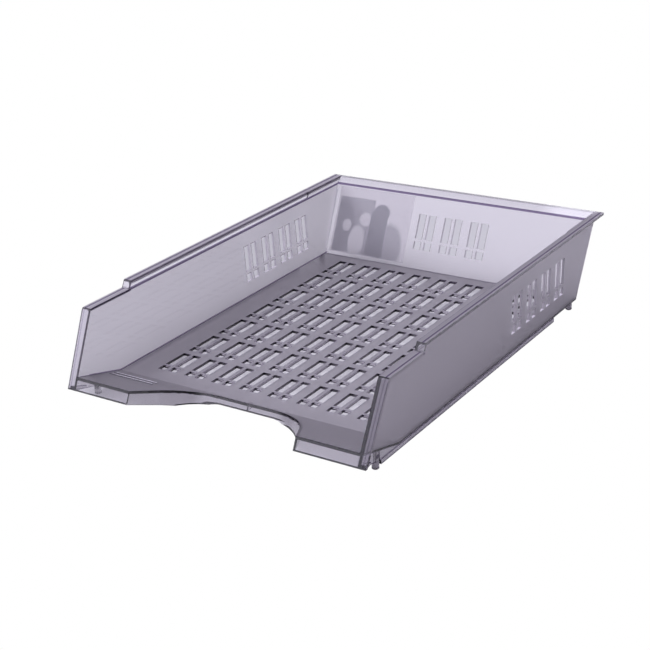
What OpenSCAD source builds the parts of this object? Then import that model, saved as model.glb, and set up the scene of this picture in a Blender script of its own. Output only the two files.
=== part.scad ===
// Stacking letter tray for A4 and C4 sheets, moulded in smoke-tinted clear plastic.
// +X is right, +Y is the rear, +Z is up. The origin is the centre of the footprint, at desk level.
// The moulding is split at its natural lines, so each wall, rail, flange and foot is its own solid.

/* [Overall size] */
// Width across the side flanges
tray_w = 258; // [250:1:272]
// Depth from the lower edge of the lip to the tip of the rear flange
tray_d = 360; // [355:1:375]
// Height of the stacking rails above the desk
tray_h = 70; // [66:1:85]
// Thickness of the moulded sheet
wall_t = 2; // [1.6:0.1:2.4]

/* [Walls] */
// Outward lean of each side wall, in degrees
side_lean = 1.8; // [0:0.1:3]
// Backward lean of the rear wall, in degrees
rear_lean = 26; // [18:1:27]
// Backward lean of the front edges, in degrees
front_lean = 27.2; // [20:0.2:30]
// Height of the paper bed above the desk
floor_z = 8; // [7:0.5:10]
// Radius of the rounded corner at the front top of each side
corner_r = 3; // [2.5:0.5:8]

/* [Flanges and rails] */
// How far the side flanges stand out from the walls at the top
flange_w = 5.5; // [4:0.5:7]
// How much narrower the front flange gets towards its lower end
flange_taper = 2.9; // [0:0.1:3]
// Height of the stacking rails above the front flanges
rail_h = 5.5; // [4:0.5:8]
// Place of the step between front flange and rail, from the centre
step_y = -109.6; // [-120:0.1:-90]
// Backward lean of the front end of each rail, in degrees
step_lean = 30; // [0:1:40]
// Depth of the shallow recess inside each rail, which locates the tray above
recess = 0.9; // [0.6:0.1:1.1]
// Rear end of that recess, from the centre
recess_end = 126; // [110:1:134]
// Horizontal reach of the flare along the top of the rear wall
flare_w = 7.8; // [5:0.2:9]
// Height of that flare
flare_h = 4.9; // [4:0.1:5.3]

/* [Front lip] */
// Height of the crest of the lip above the desk
lip_z = 20.4; // [18:0.2:24]
// Height of the lower edge of the lip at the sides
lip_low_z = 11.6; // [10:0.1:12.5]
// Horizontal length of the ramp that climbs to the crest
ramp_len = 44.2; // [40:0.2:48]
// Corner radius of the thumb scoop
scoop_r = 45; // [38:1:48]
// Lowest edge of the skirt behind the scoop, above the desk
skirt_z = 2.2; // [1:0.1:4]
// Straight width at the bottom of the thumb scoop
scoop_flat = 42; // [30:1:50]
// Gap between the ramp's start and the bottom of the scoop
scoop_back = 2.3; // [2:0.1:5]

/* [Perforations] */
// Width of every slot
slot_w = 6.6; // [5:0.1:7]
// Distance between the twin slots of a cell, left edge to left edge
twin_pitch = 9.8; // [9:0.1:11]
// Length of a long slot
long_len = 21.5; // [16:0.5:22]
// Length of a short slot
short_len = 6.6; // [5:0.1:7]
// Bridge between a long slot and its short slot
bridge = 2.4; // [2:0.1:3]
// Cell columns in the floor
floor_cols = 8; // [4:1:8]
// Cell rows in the floor
floor_rows = 7; // [3:1:7]
// Column pitch in the floor and the rear wall
col_pitch = 25; // [24:0.5:26]
// Row pitch in the floor
row_pitch = 36.35; // [34:0.05:36.5]
// Cells in each side wall
side_cells = 4; // [1:1:4]
// Cell pitch in the side walls
side_pitch = 24.5; // [22:0.5:25]
// Cells in the rear wall
rear_cells = 3; // [1:1:3]

/* [Feet and label] */
// Diameter of the round feet
foot_d = 5; // [4:0.2:5]
// Clearance of the foot rails above the desk
rail_clear = 2.7; // [1:0.1:4]
// Width of the paper label
label_w = 76; // [40:1:76]
// Height of the paper label, measured up the wall
label_h = 59; // [30:1:59]
// Thickness of the paper label
label_t = 0.25; // [0.2:0.05:0.5]

/* [Hidden] */
$fn = 64;
smoke = [0.60, 0.59, 0.66];
paper = [0.93, 0.93, 0.95];
// Reach of the cutting solids past what they cut
over = 20;

// Heights
under_z = floor_z - wall_t;
ledge_z = tray_h - rail_h;
flare_z = tray_h - flare_h;

// Half widths and the plan positions of the main lines
half_w = tray_w / 2;
half_d = tray_d / 2;
floor_hw = half_w - flange_w - wall_t - (tray_h - floor_z) * tan(side_lean);
rear_t = wall_t / cos(rear_lean);
front_t = wall_t / cos(front_lean);
floor_rear = half_d - flare_w - (flare_z - floor_z) * tan(rear_lean);
crest_y = front_y(lip_z);
ramp_y = crest_y + ramp_len;
ramp_angle = atan((lip_z - floor_z) / ramp_len);
ramp_t = wall_t / cos(ramp_angle);
// Slopes at which the lower edges of the side walls and of the skirt fall towards the rear
belly_slope = 0.25;
skirt_slope = 0.32;
belly_y = -half_d + (lip_low_z - under_z) / belly_slope;

// Inner face of a side wall at height z
function inner_x(z) = floor_hw + max(0, z - floor_z) * tan(side_lean);
// Inner face of the rear wall at height z
function rear_y(z) = floor_rear + (z - floor_z) * tan(rear_lean);
// Slanted front edge at height z
function front_y(z) = -half_d + (z - lip_low_z) * tan(front_lean);
// Underside of the ramp at depth y
function ramp_under(y) = floor_z + (ramp_y - y) * tan(ramp_angle) - ramp_t;
// Lower edge of a side wall at depth y
function belly_z(y) = lip_low_z - belly_slope * (y + half_d);
// Height at which a line parallel to the front edge, moved back by shift, meets the ramp's underside
function under_meet(shift) =
    let (line_0 = front_y(0) + shift)
    (ramp_under(0) - line_0 * tan(ramp_angle)) / (1 + tan(front_lean) * tan(ramp_angle));

// Cell of four slots: two long ones and two short ones, from its lower left corner
cell_w = twin_pitch + slot_w;
floor_grid_w = (floor_cols - 1) * col_pitch + cell_w;
floor_grid_y = -116.4;
side_cells_y = 29.8;
side_cells_z = 20.5;
rear_cells_up = 16.8;

foot_x = floor_hw - 0.7;
front_foot_y = -half_d + 23.1;
rear_foot_y = floor_rear - 6.8;
rail_x = floor_hw + 0.3;
foot_rail_rear = 103.6;
label_left = -117;
label_up = 2;

// Points along an arc from angle a0 to angle a1, split into equal steps
function arc(cx, cy, r, a0, a1, steps) =
    [for (i = [0 : steps]) let (a = a0 + (a1 - a0) * i / steps) [cx + r * cos(a), cy + r * sin(a)]];

// Extrudes a drawing whose axes are X and Z, from depth y0 to y1
module along_y(y0, y1) {
    translate([0, y1, 0])
        rotate([90, 0, 0])
            linear_extrude(y1 - y0)
                children();
}

// Extrudes a drawing whose axes are Y and Z, from x0 to x1
module along_x(x0, x1) {
    translate([x0, 0, 0])
        rotate([90, 0, 90])
            linear_extrude(x1 - x0)
                children();
}

// Draws a part of the right side as it is, or as its left mirror image
module on_side(side) {
    if (side < 0) {
        mirror([1, 0, 0]) children();
    } else {
        children();
    }
}

// Space between the inner faces of the two side walls
module interior() {
    along_y(-half_d - over, half_d + over)
        polygon([
            [-floor_hw, -over], [-inner_x(floor_z), floor_z], [-inner_x(tray_h + over), tray_h + over],
            [inner_x(tray_h + over), tray_h + over], [inner_x(floor_z), floor_z], [floor_hw, -over]
        ]);
}

// The repeating cell of slots
module slot_cell() {
    for (twin = [0, 1]) {
        translate([twin * twin_pitch, 0]) {
            square([slot_w, short_len]);
            translate([0, short_len + bridge]) square([slot_w, long_len]);
        }
    }
}

// Paper bed with its grid of slot cells
module floor_panel() {
    color(smoke)
        difference() {
            along_x(-floor_hw, floor_hw)
                polygon([
                    [ramp_y, floor_z], [ramp_y, under_z],
                    [rear_y(under_z), under_z], [rear_y(floor_z), floor_z]
                ]);
            translate([0, 0, under_z - 1])
                linear_extrude(wall_t + 2)
                    for (col = [0 : floor_cols - 1], row = [0 : floor_rows - 1]) {
                        translate([col * col_pitch - floor_grid_w / 2, floor_grid_y + row * row_pitch])
                            slot_cell();
                    }
        }
}

// Outline of the thumb scoop, grown by edge, with the bottom of the scoop at the origin
module scoop_shape(edge = 0) {
    r = scoop_r + edge;
    side_angle = 28;
    side_x = scoop_flat / 2 + r * cos(side_angle);
    side_y = -scoop_r + r * sin(side_angle);
    run = 40;
    steps = 24;
    polygon(concat(
        [[side_x + run * tan(side_angle), side_y - run]],
        arc(scoop_flat / 2, -scoop_r, r, side_angle, 90, steps),
        arc(-scoop_flat / 2, -scoop_r, r, 90, 180 - side_angle, steps),
        [[-side_x - run * tan(side_angle), side_y - run]]
    ));
}

// Extrudes a scoop drawing along the lean of the front edge
module along_scoop() {
    translate([0, ramp_y - scoop_back, floor_z])
        rotate([-front_lean, 0, 0])
            linear_extrude(4 * over, center = true)
                children();
}

// Ramp from the paper bed up to the crest, with two plain raised bars at its left end
module front_ramp() {
    meet_z = under_meet(0);
    bar_w = 40;
    bar_d = 2.2;
    bar_rise = 0.4;
    color(smoke) {
        difference() {
            intersection() {
                interior();
                union() {
                    along_x(-half_w, half_w)
                        polygon([
                            [ramp_y, floor_z], [crest_y, lip_z], [front_y(meet_z), meet_z],
                            [ramp_y, under_z]
                        ]);
                    for (i = [0, 1]) {
                        translate([-floor_hw + 4, ramp_y - 15 + 5 * i, floor_z + (15 - 5 * i) * tan(ramp_angle)])
                            rotate([-ramp_angle, 0, 0])
                                translate([0, -bar_d / 2, -wall_t / 2])
                                    cube([bar_w, bar_d, wall_t / 2 + bar_rise]);
                    }
                }
            }
            along_scoop() scoop_shape();
        }
    }
}

// Skirt that hangs from the crest and follows the scoop, with the gate rib at its centre
module lip_skirt() {
    outer_z = under_meet(0);
    inner_z = under_meet(front_t);
    rib_w = 1.2;
    rib_d = 5;
    low_y = -half_d + (lip_low_z - skirt_z) / skirt_slope;
    mid_y = ramp_y - scoop_back - 4.5;
    mid_rise = 1.1;
    color(smoke)
        difference() {
            intersection() {
                interior();
                union() {
                    along_x(-half_w, half_w)
                        polygon([
                            [front_y(outer_z), outer_z], [front_y(lip_low_z), lip_low_z],
                            [front_y(lip_low_z) + front_t, lip_low_z],
                            [front_y(inner_z) + front_t, inner_z]
                        ]);
                    intersection() {
                        union() {
                            along_scoop() difference() {
                                scoop_shape(wall_t);
                                scoop_shape();
                            }
                            translate([-rib_w / 2, ramp_y - scoop_back - rib_d, 0])
                                cube([rib_w, 2 * rib_d, floor_z]);
                        }
                        along_x(-half_w, half_w)
                            polygon([
                                [front_y(outer_z), outer_z], [front_y(lip_low_z), lip_low_z],
                                [low_y, skirt_z], [mid_y, skirt_z], [mid_y + 2, skirt_z + mid_rise],
                                [ramp_y + rib_d, skirt_z + mid_rise], [ramp_y + rib_d, under_z],
                                [ramp_y, under_z]
                            ]);
                    }
                }
            }
            along_scoop() scoop_shape();
        }
}

// Points of the slanted front edge and its rounded top corner, moved inwards by inset
function front_corner(inset) =
    let (cz = ledge_z - corner_r, cy = front_y(cz) + corner_r / cos(front_lean))
    concat(
        [[front_y(lip_low_z) + inset / cos(front_lean), lip_low_z]],
        arc(cy, cz, corner_r - inset, 180 - front_lean, 90, 10)
    );

// Side of the tray below the ledge, seen from +X
module side_outline() {
    polygon(concat(front_corner(0), [
        [rear_y(ledge_z) + rear_t, ledge_z],
        [rear_y(under_z) + rear_t, under_z],
        [belly_y, under_z]
    ]));
}

// Cross-section of a side wall between two heights
module wall_section(z0, z1) {
    polygon([
        [inner_x(z0), z0], [inner_x(max(z0, floor_z)), max(z0, floor_z)], [inner_x(z1), z1],
        [inner_x(z1) + wall_t, z1], [inner_x(max(z0, floor_z)) + wall_t, max(z0, floor_z)],
        [inner_x(z0) + wall_t, z0]
    ]);
}

// Side wall up to the ledge, with its row of slot cells
module side_wall(side) {
    color(smoke)
        on_side(side)
            difference() {
                intersection() {
                    along_y(-half_d, half_d) wall_section(under_z, ledge_z);
                    along_x(0, half_w) side_outline();
                }
                along_x(floor_hw - over, half_w + over)
                    for (i = [0 : side_cells - 1]) {
                        translate([side_cells_y + i * side_pitch, side_cells_z]) slot_cell();
                    }
            }
}

// Rear wall, leaning back, with its slot cells
module rear_wall() {
    rear_grid_w = (rear_cells - 1) * col_pitch + cell_w;
    color(smoke)
        difference() {
            intersection() {
                interior();
                along_x(-half_w, half_w)
                    polygon([
                        [rear_y(under_z), under_z], [rear_y(under_z) + rear_t, under_z],
                        [rear_y(ledge_z) + rear_t, ledge_z], [rear_y(ledge_z), ledge_z]
                    ]);
            }
            translate([0, floor_rear, floor_z])
                rotate([90 - rear_lean, 0, 0])
                    translate([-rear_grid_w / 2, rear_cells_up, -over])
                        linear_extrude(2 * over)
                            for (i = [0 : rear_cells - 1]) {
                                translate([i * col_pitch, 0]) slot_cell();
                            }
        }
}

// Cross-section of a stacking rail: a web that carries on from the wall, a cove and the flange
module rail_section() {
    cove_r = 2;
    web_x = inner_x(tray_h) + wall_t;
    flange_z = tray_h - wall_t;
    polygon(concat(
        [[inner_x(tray_h), tray_h], [inner_x(ledge_z), ledge_z], [inner_x(ledge_z) + wall_t, ledge_z]],
        arc(web_x + cove_r, flange_z - cove_r, cove_r, 180, 90, 8),
        [[half_w, flange_z], [half_w, tray_h]]
    ));
}

// Rail above the ledge, with the cap at its front end and the recess along its inner face
module stacking_rail(side) {
    round_r = 4;
    top_y = step_y + rail_h * tan(step_lean);
    color(smoke)
        on_side(side)
            difference() {
                intersection() {
                    along_x(0, half_w)
                        polygon([
                            [step_y, ledge_z - wall_t], [step_y + wall_t, ledge_z - wall_t],
                            [step_y + wall_t, ledge_z], [rear_y(ledge_z) + rear_t, ledge_z],
                            [half_d, tray_h - rear_t], [half_d, tray_h], [top_y, tray_h],
                            [step_y, ledge_z]
                        ]);
                    union() {
                        along_y(step_y, half_d) rail_section();
                        along_x(inner_x(ledge_z) + wall_t, half_w)
                            polygon([
                                [step_y, ledge_z - wall_t], [step_y + wall_t, ledge_z - wall_t],
                                [step_y + wall_t, ledge_z], [top_y + wall_t, tray_h],
                                [top_y, tray_h], [step_y, ledge_z]
                            ]);
                    }
                }
                along_x(0, inner_x(ledge_z) + recess)
                    polygon(concat(
                        [[step_y - over, tray_h + over], [step_y - over, ledge_z]],
                        arc(recess_end - round_r, ledge_z + round_r, round_r, -90, 0, 8),
                        [[recess_end, tray_h + over]]
                    ));
            }
}

// Flare along the top of the rear wall, between the two rails
module rear_flange() {
    color(smoke)
        intersection() {
            interior();
            along_x(-half_w, half_w)
                polygon([
                    [rear_y(ledge_z), ledge_z], [rear_y(ledge_z) + rear_t, ledge_z],
                    [half_d, tray_h - rear_t], [half_d, tray_h],
                    [rear_y(flare_z), flare_z]
                ]);
        }
}

// The space outside a side wall that the front flange may fill
module flange_space() {
    along_y(-half_d, step_y)
        polygon([
            [inner_x(under_z) + wall_t, under_z], [inner_x(floor_z) + wall_t, floor_z],
            [inner_x(ledge_z) + wall_t, ledge_z], [half_w, ledge_z],
            [half_w - flange_taper, under_z]
        ]);
}

// Flange that runs along the low front part of the side and down its slanted edge,
// with a short gusset along the lower edge of the wall
module front_flange(side) {
    outer = front_corner(0);
    inner = front_corner(wall_t);
    gusset_y = -half_d + 14;
    color(smoke)
        on_side(side) {
            intersection() {
                flange_space();
                along_x(0, half_w)
                    polygon(concat(
                        outer,
                        [[step_y, ledge_z], [step_y, ledge_z - wall_t]],
                        [for (i = [len(inner) - 1 : -1 : 0]) inner[i]]
                    ));
            }
            intersection() {
                flange_space();
                linear_extrude(ledge_z)
                    polygon([
                        [floor_hw, -half_d], [half_w - flange_taper, -half_d],
                        [floor_hw + wall_t, gusset_y]
                    ]);
                along_x(0, half_w)
                    polygon([
                        [front_y(lip_low_z), lip_low_z],
                        [front_y(lip_low_z + wall_t), lip_low_z + wall_t],
                        [gusset_y, belly_z(gusset_y) + wall_t], [gusset_y, belly_z(gusset_y)]
                    ]);
            }
        }
}

// Low rail under each side wall, which sits on the ledge of the tray below
module foot_rail(side) {
    front_end = max(front_foot_y + foot_d / 2, belly_y);
    color(smoke)
        on_side(side)
            along_x(rail_x, rail_x + wall_t)
                polygon([
                    [front_end, rail_clear], [foot_rail_rear, rail_clear],
                    [foot_rail_rear, under_z], [front_end, under_z]
                ]);
}

// One round foot with a chamfered sole, from the desk up to height top
module foot(top) {
    chamfer = 0.5;
    cylinder(h = chamfer, r1 = foot_d / 2 - chamfer, r2 = foot_d / 2);
    translate([0, 0, chamfer]) cylinder(h = top - chamfer, d = foot_d);
}

// Tall feet under the ramp, beside the front ends of the foot rails
module front_feet() {
    top = ramp_under(front_foot_y);
    color(smoke)
        for (side = [-1, 1]) {
            on_side(side)
                difference() {
                    translate([foot_x, front_foot_y, 0]) foot(top + 1);
                    along_x(0, half_w)
                        polygon([
                            [crest_y, ramp_under(crest_y)], [crest_y, lip_z + over],
                            [ramp_y, lip_z + over], [ramp_y, ramp_under(ramp_y)]
                        ]);
                    along_x(inner_x(floor_z), half_w)
                        polygon([
                            [-half_d, belly_z(-half_d)], [-half_d, tray_h],
                            [ramp_y, tray_h], [ramp_y, under_z], [belly_y, under_z]
                        ]);
                }
        }
}

// Short feet under the rear corners
module rear_feet() {
    color(smoke)
        for (side = [-1, 1]) {
            translate([side * foot_x, rear_foot_y, 0]) foot(under_z);
        }
}

// Paper label on the outside of the rear wall
module rear_label() {
    color(paper)
        translate([label_left, floor_rear + rear_t, floor_z])
            rotate([90 - rear_lean, 0, 0])
                translate([0, label_up, -label_t])
                    cube([label_w, label_h, label_t]);
}

floor_panel();
front_ramp();
lip_skirt();
side_wall(-1);  // left_side_wall
side_wall(1);  // right_side_wall
rear_wall();
stacking_rail(-1);  // left_stacking_rail
stacking_rail(1);  // right_stacking_rail
rear_flange();
front_flange(-1);  // left_front_flange
front_flange(1);  // right_front_flange
foot_rail(-1);  // left_foot_rail
foot_rail(1);  // right_foot_rail
front_feet();
rear_feet();
rear_label();
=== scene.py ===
import math

import bmesh
import bpy
from mathutils import Matrix, Vector


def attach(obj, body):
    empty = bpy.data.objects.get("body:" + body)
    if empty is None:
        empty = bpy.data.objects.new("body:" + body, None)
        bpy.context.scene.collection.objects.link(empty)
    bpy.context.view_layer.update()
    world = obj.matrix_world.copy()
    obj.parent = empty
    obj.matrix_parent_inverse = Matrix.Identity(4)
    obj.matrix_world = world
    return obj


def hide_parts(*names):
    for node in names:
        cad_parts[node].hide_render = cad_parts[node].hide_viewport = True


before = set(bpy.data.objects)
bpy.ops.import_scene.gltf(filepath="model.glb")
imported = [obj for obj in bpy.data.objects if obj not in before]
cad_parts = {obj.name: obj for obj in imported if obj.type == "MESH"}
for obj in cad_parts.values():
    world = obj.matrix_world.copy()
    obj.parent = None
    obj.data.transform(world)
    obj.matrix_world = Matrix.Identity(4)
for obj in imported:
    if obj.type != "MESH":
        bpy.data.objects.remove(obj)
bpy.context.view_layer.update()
scene = bpy.context.scene
root = "root"


# ---------------------------------------------------------------- sizes, in metres
def reach(node, axis):
    """Lowest and highest coordinate of a CAD node along x, y or z, to a hundredth of a millimetre."""
    values = [vert.co["xyz".index(axis)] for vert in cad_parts[node].data.vertices]
    return round(min(values), 5), round(max(values), 5)


# Half widths: the paper bed, just inside the side walls, the middle of the walls, and the whole rim
FLOOR_HALF = reach("floor_panel", "x")[1]
INNER_HALF = FLOOR_HALF - 0.00005
WALL_HALF = FLOOR_HALF + 0.00195
RIM_HALF = reach("right_stacking_rail", "x")[1]
# Heights: underside and top of the bed, crest of the lip, and the ledge on top of the walls
UNDER_Z, FLOOR_Z = reach("floor_panel", "z")
CREST_Z = reach("front_ramp", "z")[1]
LEDGE_Z = reach("rear_wall", "z")[1]
# Depths: where the slanted front edge would meet the desk, feet, start of the ramp, and the rear end
FRONT_Y = -0.18596
FRONT_FOOT_Y = sum(reach("front_feet", "y")) / 2
RAMP_Y = -0.13114
REAR_FOOT_Y = sum(reach("rear_feet", "y")) / 2
REAR_Y = reach("rear_flange", "y")[1]
# The slots lie between these heights and behind this depth; those of the rear wall within a half width
VENT_LOW = 0.012
VENT_HIGH = 0.060
VENT_FRONT = 0.02
VENT_HALF = 0.119
# Slopes: rise of the ramp, and lean of the side walls, the rear wall and the front edge
RAMP_SLOPE = 0.2805
SIDE_LEAN = math.tan(math.radians(1.8))
REAR_LEAN = math.tan(math.radians(26))
FRONT_LEAN = math.tan(math.radians(27.2))
# Tolerance for a surface that lies on the bed
SKIN = 0.0003
# Closest that two points of a CAD node may lie
MICRON = 1e-6


# ---------------------------------------------------------------- node helpers
class Sum:
    """A value inside a node tree, so that shader arithmetic reads like arithmetic."""

    def __init__(self, tree, socket):
        self.tree = tree
        self.socket = socket

    def math(self, operation, *others):
        node = self.tree.nodes.new("ShaderNodeMath")
        node.operation = operation
        for slot, value in zip(node.inputs, (self,) + others):
            if isinstance(value, Sum):
                self.tree.links.new(value.socket, slot)
            else:
                slot.default_value = value
        return Sum(self.tree, node.outputs[0])

    def __add__(self, other):
        return self.math("ADD", other)

    def __sub__(self, other):
        return self.math("SUBTRACT", other)

    def __mul__(self, other):
        return self.math("MULTIPLY", other)

    def __truediv__(self, other):
        return self.math("DIVIDE", other)

    def __gt__(self, other):
        return self.math("GREATER_THAN", other)

    def __lt__(self, other):
        return self.math("LESS_THAN", other)

    def __or__(self, other):
        return self.math("MAXIMUM", other)

    def near(self, other, reach):
        """1 where this value is within reach of the other one."""
        return (self - other).math("ABSOLUTE") < reach

    def between(self, low, high):
        """1 where this value is above low and below high."""
        return (self > low) * (self < high)

    def inverse(self):
        return self * -1 + 1


def add(tree, kind, **values):
    """A new node with the given properties."""
    node = tree.nodes.new(kind)
    for name, value in values.items():
        setattr(node, name, value)
    return node


def split(tree, socket):
    """The three components of a vector."""
    node = add(tree, "ShaderNodeSeparateXYZ")
    tree.links.new(socket, node.inputs[0])
    return [Sum(tree, out) for out in node.outputs]


def soft_step(value, low, high):
    """Rises smoothly from 0 at low to 1 at high."""
    node = add(value.tree, "ShaderNodeMapRange", interpolation_type="SMOOTHSTEP")
    value.tree.links.new(value.socket, node.inputs["Value"])
    node.inputs["From Min"].default_value = low
    node.inputs["From Max"].default_value = high
    return Sum(value.tree, node.outputs["Result"])


def mixed(tree, factor, first, second):
    """The shader first where factor is 0, second where it is 1."""
    node = add(tree, "ShaderNodeMixShader")
    if isinstance(factor, Sum):
        tree.links.new(factor.socket, node.inputs[0])
    else:
        node.inputs[0].default_value = factor
    tree.links.new(first, node.inputs[1])
    tree.links.new(second, node.inputs[2])
    return node.outputs[0]


def blend(tree, factor, first, second):
    """A colour between two colours; each is a tuple or a socket."""
    node = add(tree, "ShaderNodeMix", data_type="RGBA")
    tree.links.new(factor.socket, node.inputs[0])
    for slot, colour in zip(node.inputs[6:8], (first, second)):
        if isinstance(colour, tuple):
            slot.default_value = colour + (1,)
        else:
            tree.links.new(colour, slot)
    return node.outputs[2]


def new_material(name):
    """A material with an empty node tree."""
    material = bpy.data.materials.new(name)
    material.use_nodes = True
    material.node_tree.nodes.clear()
    return material, material.node_tree


# ---------------------------------------------------------------- the moulding
# Faces that meet below this angle are shaded as one curve
CREASE = math.radians(20)
# Areas between which a face is a facet of a curve: smaller is a sliver, larger is a flat sheet
SLIVER = 1e-9
SHEET = 3e-5
# A loose piece with fewer points is a bubble left by the union
BUBBLE = 60


def cleaned_copy(node):
    """A copy of a CAD node with coincident points joined, ready for the union."""
    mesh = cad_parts[node].data.copy()
    shape = bmesh.new()
    shape.from_mesh(mesh)
    bmesh.ops.remove_doubles(shape, verts=shape.verts, dist=MICRON)
    for vert in shape.verts:
        vert.co = [round(value, 6) for value in vert.co]
    shape.to_mesh(mesh)
    shape.free()
    part = bpy.data.objects.new(node + "_copy", mesh)
    scene.collection.objects.link(part)
    return part


def united(parts):
    """One mesh that is the union of the parts; the parts themselves are removed."""
    whole = parts[0]
    for part in parts[1:]:
        union = whole.modifiers.new(part.name, "BOOLEAN")
        union.operation = "UNION"
        union.solver = "MANIFOLD"
        union.object = part
    bpy.context.view_layer.update()
    graph = bpy.context.evaluated_depsgraph_get()
    mesh = bpy.data.meshes.new_from_object(whole.evaluated_get(graph))
    mesh.attributes.remove(mesh.attributes["custom_normal"])
    for part in parts:
        bpy.data.objects.remove(part)
    return mesh


def drop_bubbles(shape):
    """Removes the tiny loose pieces a union can leave between touching faces."""
    left = set(shape.verts)
    while left:
        island = set()
        grow = [left.pop()]
        while grow:
            vert = grow.pop()
            island.add(vert)
            for edge in vert.link_edges:
                other = edge.other_vert(vert)
                if other in left:
                    left.discard(other)
                    grow.append(other)
        if len(island) < BUBBLE:
            bmesh.ops.delete(shape, geom=list(island), context="VERTS")


def merged(name, nodes):
    """One closed object made of copies of the CAD nodes, smooth only where a surface curves."""
    mesh = united([cleaned_copy(node) for node in nodes])
    mesh.name = name
    shape = bmesh.new()
    shape.from_mesh(mesh)
    drop_bubbles(shape)
    bmesh.ops.triangulate(shape, faces=shape.faces)
    for edge in shape.edges:
        edge.smooth = len(edge.link_faces) == 2 and edge.calc_face_angle(0) < CREASE
    for face in shape.faces:
        face.smooth = SLIVER < face.calc_area() < SHEET
    shape.to_mesh(mesh)
    shape.free()
    piece = bpy.data.objects.new(name, mesh)
    scene.collection.objects.link(piece)
    return piece


plastic_nodes = [node for node in sorted(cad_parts) if node != "rear_label"]
moulding = merged("tray_moulding", plastic_nodes)
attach(moulding, root)
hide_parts(*plastic_nodes)


# ---------------------------------------------------------------- plastic
class Surface:
    """Where a shaded point of the plastic lies, and which way its face looks."""

    def __init__(self, tree):
        self.geometry = add(tree, "ShaderNodeNewGeometry")
        self.x, self.y, self.z = split(tree, self.geometry.outputs["Position"])
        normal = split(tree, self.geometry.outputs["True Normal"])
        self.facing_x, self.facing_y, self.facing_z = (part.math("ABSOLUTE") for part in normal)
        self.side = self.x.math("ABSOLUTE")
        self.entering = Sum(tree, self.geometry.outputs["Backfacing"]).inverse()
        # Height of the bed and ramp, and depth of the slanted front edge
        self.bed = (self.y * -1 + RAMP_Y).math("MAXIMUM", 0) * RAMP_SLOPE + FLOOR_Z
        self.slant = self.z * FRONT_LEAN + FRONT_Y
        self.at_slots = self.z.between(VENT_LOW, VENT_HIGH)
        self.at_slant = (self.y < self.slant + 0.001) * (self.z < LEDGE_Z)
        self.bed_top = (self.facing_z > 0.95) * self.z.between(self.bed - SKIN, CREST_Z + 0.0016)
        self.bar_top = self.bed_top * (self.z > self.bed + 0.0002)
        self.rim_top = (self.facing_z > 0.95) * (self.z > LEDGE_Z - 0.0005)


def textures(at):
    """Roughness, haze, and where the haze takes a lighter colour as painted light. The other faces are
    clear and smooth.
    """
    outside = at.side > at.z * SIDE_LEAN + FLOOR_HALF + 0.00075
    wall = (at.facing_x > 0.99) * outside * at.z.between(at.bed - SKIN, LEDGE_Z)
    tip = (at.facing_y > 0.99) * (at.y > REAR_Y - 0.0005)
    side_slots = (at.side > INNER_HALF) * (at.facing_x < 0.5) * (at.y > VENT_FRONT)
    rear_slots = (at.side < VENT_HALF) * (at.facing_y < 0.5) * (at.y > 0.145)
    slots = at.at_slots * (side_slots | rear_slots)
    rear_face = at.facing_y.between(0.85, 0.95) * (at.y > 0.143)
    rough = wall * 0.40 + at.bed_top * 0.28 + at.rim_top * 0.30 + (tip | slots) * 0.50
    rough = rough + rear_face * 0.22 + 0.04
    # Less haze towards the rear, so the side walls are painted darker there: painted shade
    wall_haze = soft_step(at.y, -0.06, 0.12) * -0.08 + 0.29
    haze = wall * wall_haze + at.bed_top * 0.22 + at.bar_top * 0.45 + at.rim_top * 0.50 + slots * 0.6
    # Painted light: the bar tops and the slot faces get a lighter haze, except the slots of the right side
    # wall, which stay in shade
    painted_light = at.bar_top | slots * (at.x < VENT_HALF)
    return rough, haze * at.entering, painted_light


def painted_edge_shade(tree, at):
    """Strength of the painted shade on edges: near 1 where the bevelled normal turns away from the normal
    of the face.
    """
    bevel = add(tree, "ShaderNodeBevel", samples=6)
    bevel.inputs["Radius"].default_value = 0.0006
    turn = add(tree, "ShaderNodeVectorMath", operation="DOT_PRODUCT")
    tree.links.new(at.geometry.outputs["Normal"], turn.inputs[0])
    tree.links.new(bevel.outputs[0], turn.inputs[1])
    edge = soft_step(Sum(tree, turn.outputs["Value"]).inverse(), 0.004, 0.04)
    # Edges that get no painted shade; the left front flange is among them but the right one is not, so the
    # two sides differ
    skirt = (at.side < 0.1193) * (at.z < at.bed - 0.0025) * (at.y < RAMP_Y)
    tip = at.y > REAR_Y - 0.0035
    slots = at.at_slots * (at.y > VENT_FRONT)
    left_flange = (at.x < -0.11) * (at.y < at.slant + 0.003)
    feet = (at.z < 0.0055) * (at.y.near(FRONT_FOOT_Y, 0.004) | at.y.near(REAR_FOOT_Y, 0.004))
    rim = (at.side > RIM_HALF - 0.0007) * (at.z > LEDGE_Z - 0.0025)
    light = skirt | tip | slots | left_flange | feet | rim | at.bar_top
    return edge * light.inverse()


def painted_join_shade(at):
    """Strength of the painted shade along lines where one sheet meets another, seen through the plastic,
    with fainter shade under the rim, over the front flanges and on the side walls below the bed.
    """
    rim = at.rim_top * at.side.near(0.1266, 0.0006)
    flange = at.at_slant * at.side.near(at.z * 0.0496 + 0.1234, 0.0005)
    ledge = (at.facing_x > 0.9) * (at.side < 0.1225) * at.z.near(LEDGE_Z, 0.0008)
    # Painted shade under the overhang of the rim
    under_rim = (at.facing_x > 0.99) * (at.side > 0.1230) * at.z.near(0.0634, 0.0006) * (at.y > -0.11)
    rear_ledge = (at.facing_y > 0.5) * at.y.between(0.165, 0.1735) * at.z.near(LEDGE_Z + 0.0004, 0.0008)
    bed_side = at.side.near(FLOOR_HALF - 0.0002, 0.0005) * at.z.near(at.bed + 0.0002, 0.0005)
    whole_flange = at.at_slant * (at.side > INNER_HALF)
    # Painted shade low on the side walls, below the bed
    under_bed = (at.side > 0.1150) * (at.z < at.bed - SKIN) * (at.y > -0.12)
    full = rim | ledge | rear_ledge
    return full | flange * 0.5 | under_rim * 0.55 | bed_side * 0.8 | whole_flange * 0.20 | under_bed * 0.10


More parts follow.
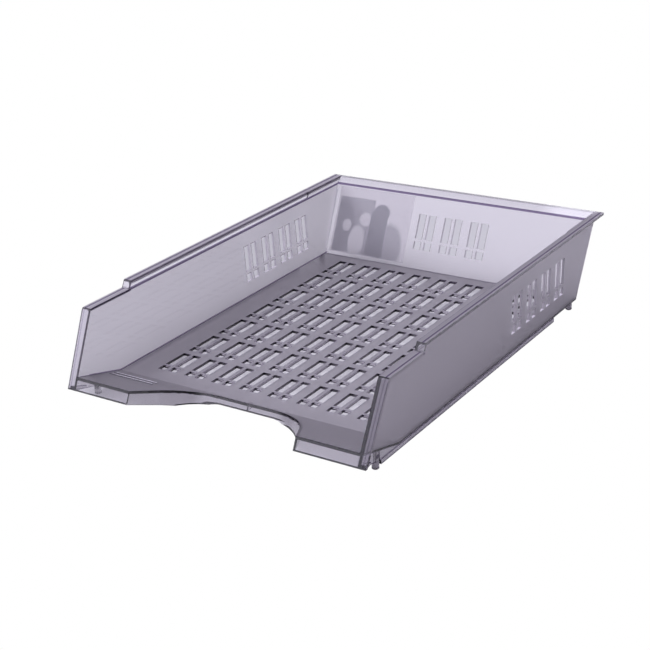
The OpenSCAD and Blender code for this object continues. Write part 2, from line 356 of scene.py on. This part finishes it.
def smoke_plastic():
    """Smoke-tinted clear plastic with textured areas, painted shade on its edges and joins, and painted
    light on some hazy faces.
    """
    material, tree = new_material("smoke_plastic")
    out = add(tree, "ShaderNodeOutputMaterial")
    at = Surface(tree)
    rough, hazy, painted_light = textures(at)
    # Painted shade: edges and joins get a darker glass and haze colour
    painted_shade = painted_edge_shade(tree, at) | painted_join_shade(at)

    glass = add(tree, "ShaderNodeBsdfGlass")
    glass.inputs["IOR"].default_value = 1.59
    tree.links.new(rough.socket, glass.inputs["Roughness"])
    tree.links.new(blend(tree, painted_shade, (1, 1, 1), (0.32, 0.27, 0.40)), glass.inputs["Color"])
    haze = add(tree, "ShaderNodeBsdfDiffuse")
    # Painted light: the haze colour is lighter on the bar tops and slot faces
    fog = blend(tree, painted_light, (0.48, 0.45, 0.49), (0.72, 0.69, 0.74))
    tree.links.new(blend(tree, painted_shade, fog, (0.16, 0.13, 0.20)), haze.inputs["Color"])
    surface = mixed(tree, hazy, glass.outputs[0], haze.outputs[0])

    # Clear plastic throws only a faint shadow
    faint = add(tree, "ShaderNodeBsdfTransparent")
    faint.inputs["Color"].default_value = (0.78, 0.77, 0.79, 1)
    shadow_ray = Sum(tree, add(tree, "ShaderNodeLightPath").outputs["Is Shadow Ray"])
    tree.links.new(mixed(tree, shadow_ray, surface, faint.outputs[0]), out.inputs["Surface"])

    # The tint deepens with the thickness of plastic that the light crosses
    absorb = add(tree, "ShaderNodeVolumeAbsorption")
    absorb.inputs["Color"].default_value = (0.06, 0.0, 0.09, 1)
    absorb.inputs["Density"].default_value = 200
    tree.links.new(absorb.outputs[0], out.inputs["Volume"])
    return material


moulding.data.materials.clear()
moulding.data.materials.append(smoke_plastic())


# ---------------------------------------------------------------- label
class Print:
    """Shapes on the label, in millimetres from the middle of the wall and up from the bed."""

    def __init__(self, tree):
        x, y, z = split(tree, add(tree, "ShaderNodeNewGeometry").outputs["Position"])
        self.across = x * 1000
        self.up = (z - FLOOR_Z) * (1000 / math.cos(math.atan(REAR_LEAN)))

    def oval(self, at_x, at_up, half_x, half_up):
        """1 inside an ellipse, with a soft edge."""
        far_x = ((self.across - at_x) / half_x).math("POWER", 2)
        far_up = ((self.up - at_up) / half_up).math("POWER", 2)
        return soft_step((far_x + far_up) * -1, -1.35, -0.7)

    def block(self, left, right, low, high):
        """1 inside a rectangle, with a soft edge."""
        soft = 0.6
        inside = soft_step(self.across, left - soft, left + soft)
        inside = inside * soft_step(self.across * -1, -right - soft, soft - right)
        inside = inside * soft_step(self.up, low - soft, low + soft)
        return inside * soft_step(self.up * -1, -high - soft, soft - high)


def label_paper():
    """Thin paper that lets light through, printed with plain tonal shapes in place of the photo's print."""
    material, tree = new_material("label_paper")
    out = add(tree, "ShaderNodeOutputMaterial")
    on = Print(tree)
    panel = on.block(-115, -79, 3, 52)
    shapes = [
        (panel, 0.77),
        (on.oval(-110, 24, 13, 24) * panel, 0.70),
        (on.oval(-60, 13, 14, 20) * on.block(-76, -40, 2.5, 50), 0.78),
        (on.oval(-92, 14, 8, 14), 0.94),
        (on.oval(-104, 27, 4.5, 5.5), 0.92),
        (on.oval(-86, 34, 6, 6), 0.96),
        (on.block(-81, -64, 3, 42), 0.63),
        (on.oval(-71, 42, 8, 7), 0.63),
    ]
    for low in (46, 41, 36):
        shapes.append((on.block(-52, -43, low, low + 1), 0.95))
    white = add(tree, "ShaderNodeValue")
    white.outputs[0].default_value = 1.0
    level = Sum(tree, white.outputs[0])
    for shape, tone in shapes:
        level = level + shape * (level * -1 + tone)
    ink = add(tree, "ShaderNodeCombineXYZ")
    for slot, value in zip(ink.inputs, (level, level * 0.99 + 0.005, level * 0.92 + 0.08)):
        tree.links.new(value.socket, slot)
    paper = add(tree, "ShaderNodeBsdfDiffuse")
    thin = add(tree, "ShaderNodeBsdfTransparent")
    for shader in (paper, thin):
        tree.links.new(ink.outputs[0], shader.inputs["Color"])
    tree.links.new(mixed(tree, 0.8, paper.outputs[0], thin.outputs[0]), out.inputs["Surface"])
    return material


def label_card():
    """The paper label, a little smaller all round so that it does not touch the plastic."""
    gap = 0.00007
    card = bpy.data.objects.new("label_card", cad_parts["rear_label"].data.copy())
    scene.collection.objects.link(card)
    shape = bmesh.new()
    shape.from_mesh(card.data)
    bmesh.ops.remove_doubles(shape, verts=shape.verts, dist=MICRON)
    shape.normal_update()
    for vert in shape.verts:
        vert.co -= vert.normal * gap
    shape.to_mesh(card.data)
    shape.free()
    card.data.attributes.remove(card.data.attributes["custom_normal"])
    card.data.materials.clear()
    card.data.materials.append(label_paper())
    return card


card = label_card()
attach(card, root)
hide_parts("rear_label")


# ---------------------------------------------------------------- stage
class GroundRay:
    """A view ray that ends on the ground, followed back towards the eye."""

    def __init__(self, tree):
        geometry = add(tree, "ShaderNodeNewGeometry")
        self.x, self.y, self.z = split(tree, geometry.outputs["Position"])
        self.step_x, self.step_y, self.step_z = split(tree, geometry.outputs["Incoming"])
        self.below = Sum(tree, geometry.outputs["Backfacing"])

    def through_side(self, sign):
        """1 where the ray passed through the outline of a side wall."""
        run = (self.x * -1 + sign * WALL_HALF) / self.step_x
        at_z = self.z + self.step_z * run
        at_y = self.y + self.step_y * run
        # The front edge slants back, and its lower end is cut off under the ramp
        front = (at_z * FRONT_LEAN - 0.1853) | (at_z * -4 - 0.1330)
        rear = at_z * REAR_LEAN + 0.1421
        return (run > 0) * at_z.between(UNDER_Z, LEDGE_Z - 0.0005) * at_y.between(front, rear)

    def through_rear(self):
        """1 where the ray passed through the outline of the leaning rear wall."""
        run = (self.y * -1 + 0.1406) / (self.step_y - self.step_z * REAR_LEAN)
        at_z = self.z + self.step_z * run
        at_x = self.x + self.step_x * run
        return (run > 0) * at_z.between(UNDER_Z, 0.069) * at_x.between(-WALL_HALF, WALL_HALF)

    def through_floor(self):
        """1 where the ray passed through the outline of the bed, half way up its thickness."""
        climb = self.step_z / ((UNDER_Z + FLOOR_Z) / 2)
        at_x = self.x + self.step_x / climb
        at_y = self.y + self.step_y / climb
        return at_x.between(-0.119, 0.119) * at_y.between(-0.131, 0.1435)


def pale_ground():
    """Pale floor, with three looks for the eye.

    It is plain white where the camera sees it beside the tray, a fixed greyer tone of painted shade where
    the camera looks through the outline of a wall, and shaded by the studio lights plus painted light from
    a faint emission where the camera looks through the bed.
    Rays that have been bent or reflected always meet the floor shaded by the lights plus that painted
    light.
    """
    material, tree = new_material("ground")
    out = add(tree, "ShaderNodeOutputMaterial")
    ray = GroundRay(tree)
    diffuse = add(tree, "ShaderNodeBsdfDiffuse")
    diffuse.inputs["Color"].default_value = (0.74, 0.74, 0.72, 1)
    # Painted light: the ground emits a faint light of its own, stronger away from the tray, which lightens
    # the shade near and under the tray
    painted_glow = add(tree, "ShaderNodeEmission")
    painted_glow.inputs["Color"].default_value = (0.09, 0.088, 0.1, 1)
    away = soft_step(ray.x.math("ABSOLUTE"), 0.12, 0.20) | soft_step(ray.y, 0.15, 0.22)
    tree.links.new((away * 1.3 + 1).socket, painted_glow.inputs["Strength"])
    lit_plus_painted_light = add(tree, "ShaderNodeAddShader")
    tree.links.new(diffuse.outputs[0], lit_plus_painted_light.inputs[0])
    tree.links.new(painted_glow.outputs[0], lit_plus_painted_light.inputs[1])

    white = add(tree, "ShaderNodeEmission")
    # Painted shade: a fixed tone, greyer than white and a little lighter through the rear wall, for the
    # floor seen through the wall outlines
    painted_shade_tone = add(tree, "ShaderNodeEmission")
    painted_shade_tone.inputs["Color"].default_value = (1, 0.975, 1.12, 1)
    rear_opening = ray.through_rear()
    tree.links.new((rear_opening * 0.065 + 0.52).socket, painted_shade_tone.inputs["Strength"])
    opening = ray.through_side(-1) | ray.through_side(1) | rear_opening
    seen = mixed(tree, opening, white.outputs[0], painted_shade_tone.outputs[0])
    direct = Sum(tree, add(tree, "ShaderNodeLightPath").outputs["Is Camera Ray"])
    drawn = direct * (ray.through_floor() * opening.inverse()).inverse()
    top = mixed(tree, drawn, lit_plus_painted_light.outputs[0], seen)

    # Seen from below, the ground is clear, so that the underside of the tray shows
    clear = add(tree, "ShaderNodeBsdfTransparent")
    tree.links.new(mixed(tree, ray.below, top, clear.outputs[0]), out.inputs["Surface"])
    return material


def studio():
    """Soft overhead light with two soft boxes; the camera itself sees plain white."""
    world = bpy.data.worlds.new("studio")
    world.use_nodes = True
    tree = world.node_tree
    tree.nodes.clear()
    out = add(tree, "ShaderNodeOutputWorld")
    wx, wy, wz = split(tree, add(tree, "ShaderNodeTexCoord").outputs["Generated"])

    def soft_box(direction, inner, outer):
        """1 inside a cone round a direction, fading to 0 between two angles in degrees."""
        dx, dy, dz = Vector(direction).normalized()
        aim = wx * dx + wy * dy + wz * dz
        return soft_step(aim, math.cos(math.radians(outer)), math.cos(math.radians(inner)))

    light = soft_step(wz, 0.35, 0.95) * 0.85 + 0.30
    light = light + soft_step(wz * -1, -0.25, -0.10) * 0.15
    light = light + soft_box((-0.25, 0.08, 0.965), 8.5, 9.6) * 4.0
    light = light + soft_box((-0.33, -0.85, 0.42), 14, 45) * 1.6
    back = add(tree, "ShaderNodeBackground")
    back.inputs["Color"].default_value = (0.90, 0.88, 1.02, 1)
    tree.links.new(light.socket, back.inputs["Strength"])
    plain = add(tree, "ShaderNodeBackground")
    plain.inputs["Color"].default_value = (1, 1, 1, 1)
    direct = Sum(tree, add(tree, "ShaderNodeLightPath").outputs["Is Camera Ray"])
    tree.links.new(mixed(tree, direct, back.outputs[0], plain.outputs[0]), out.inputs["Surface"])
    return world


bpy.ops.mesh.primitive_plane_add(size=60, location=(0, 0, 0))
ground = bpy.context.object
ground.name = "ground"
ground.data.materials.append(pale_ground())
scene.world = studio()


# ---------------------------------------------------------------- camera
def placed_camera(location, azimuth, elevation, roll, lens):
    """A camera that looks down at an elevation from an azimuth; angles in degrees."""
    azimuth, elevation, roll = (math.radians(angle) for angle in (azimuth, elevation, roll))
    level = math.cos(elevation)
    back = Vector((math.sin(azimuth) * level, -math.cos(azimuth) * level, math.sin(elevation)))
    right = Vector((math.cos(azimuth), math.sin(azimuth), 0))
    up = back.cross(right)
    axes = Matrix((
        math.cos(roll) * right + math.sin(roll) * up,
        math.cos(roll) * up - math.sin(roll) * right,
        back,
    )).transposed()
    camera = bpy.data.objects.new("camera", bpy.data.cameras.new("camera"))
    scene.collection.objects.link(camera)
    camera.data.sensor_width = 36
    camera.data.lens = lens
    camera.matrix_world = Matrix.Translation(location) @ axes.to_4x4()
    return camera


scene.camera = placed_camera((0.54067, -0.80758, 0.43336), 34.9524, 23.1580, -3.3257, 76.2908)
scene.view_settings.view_transform = "Standard"
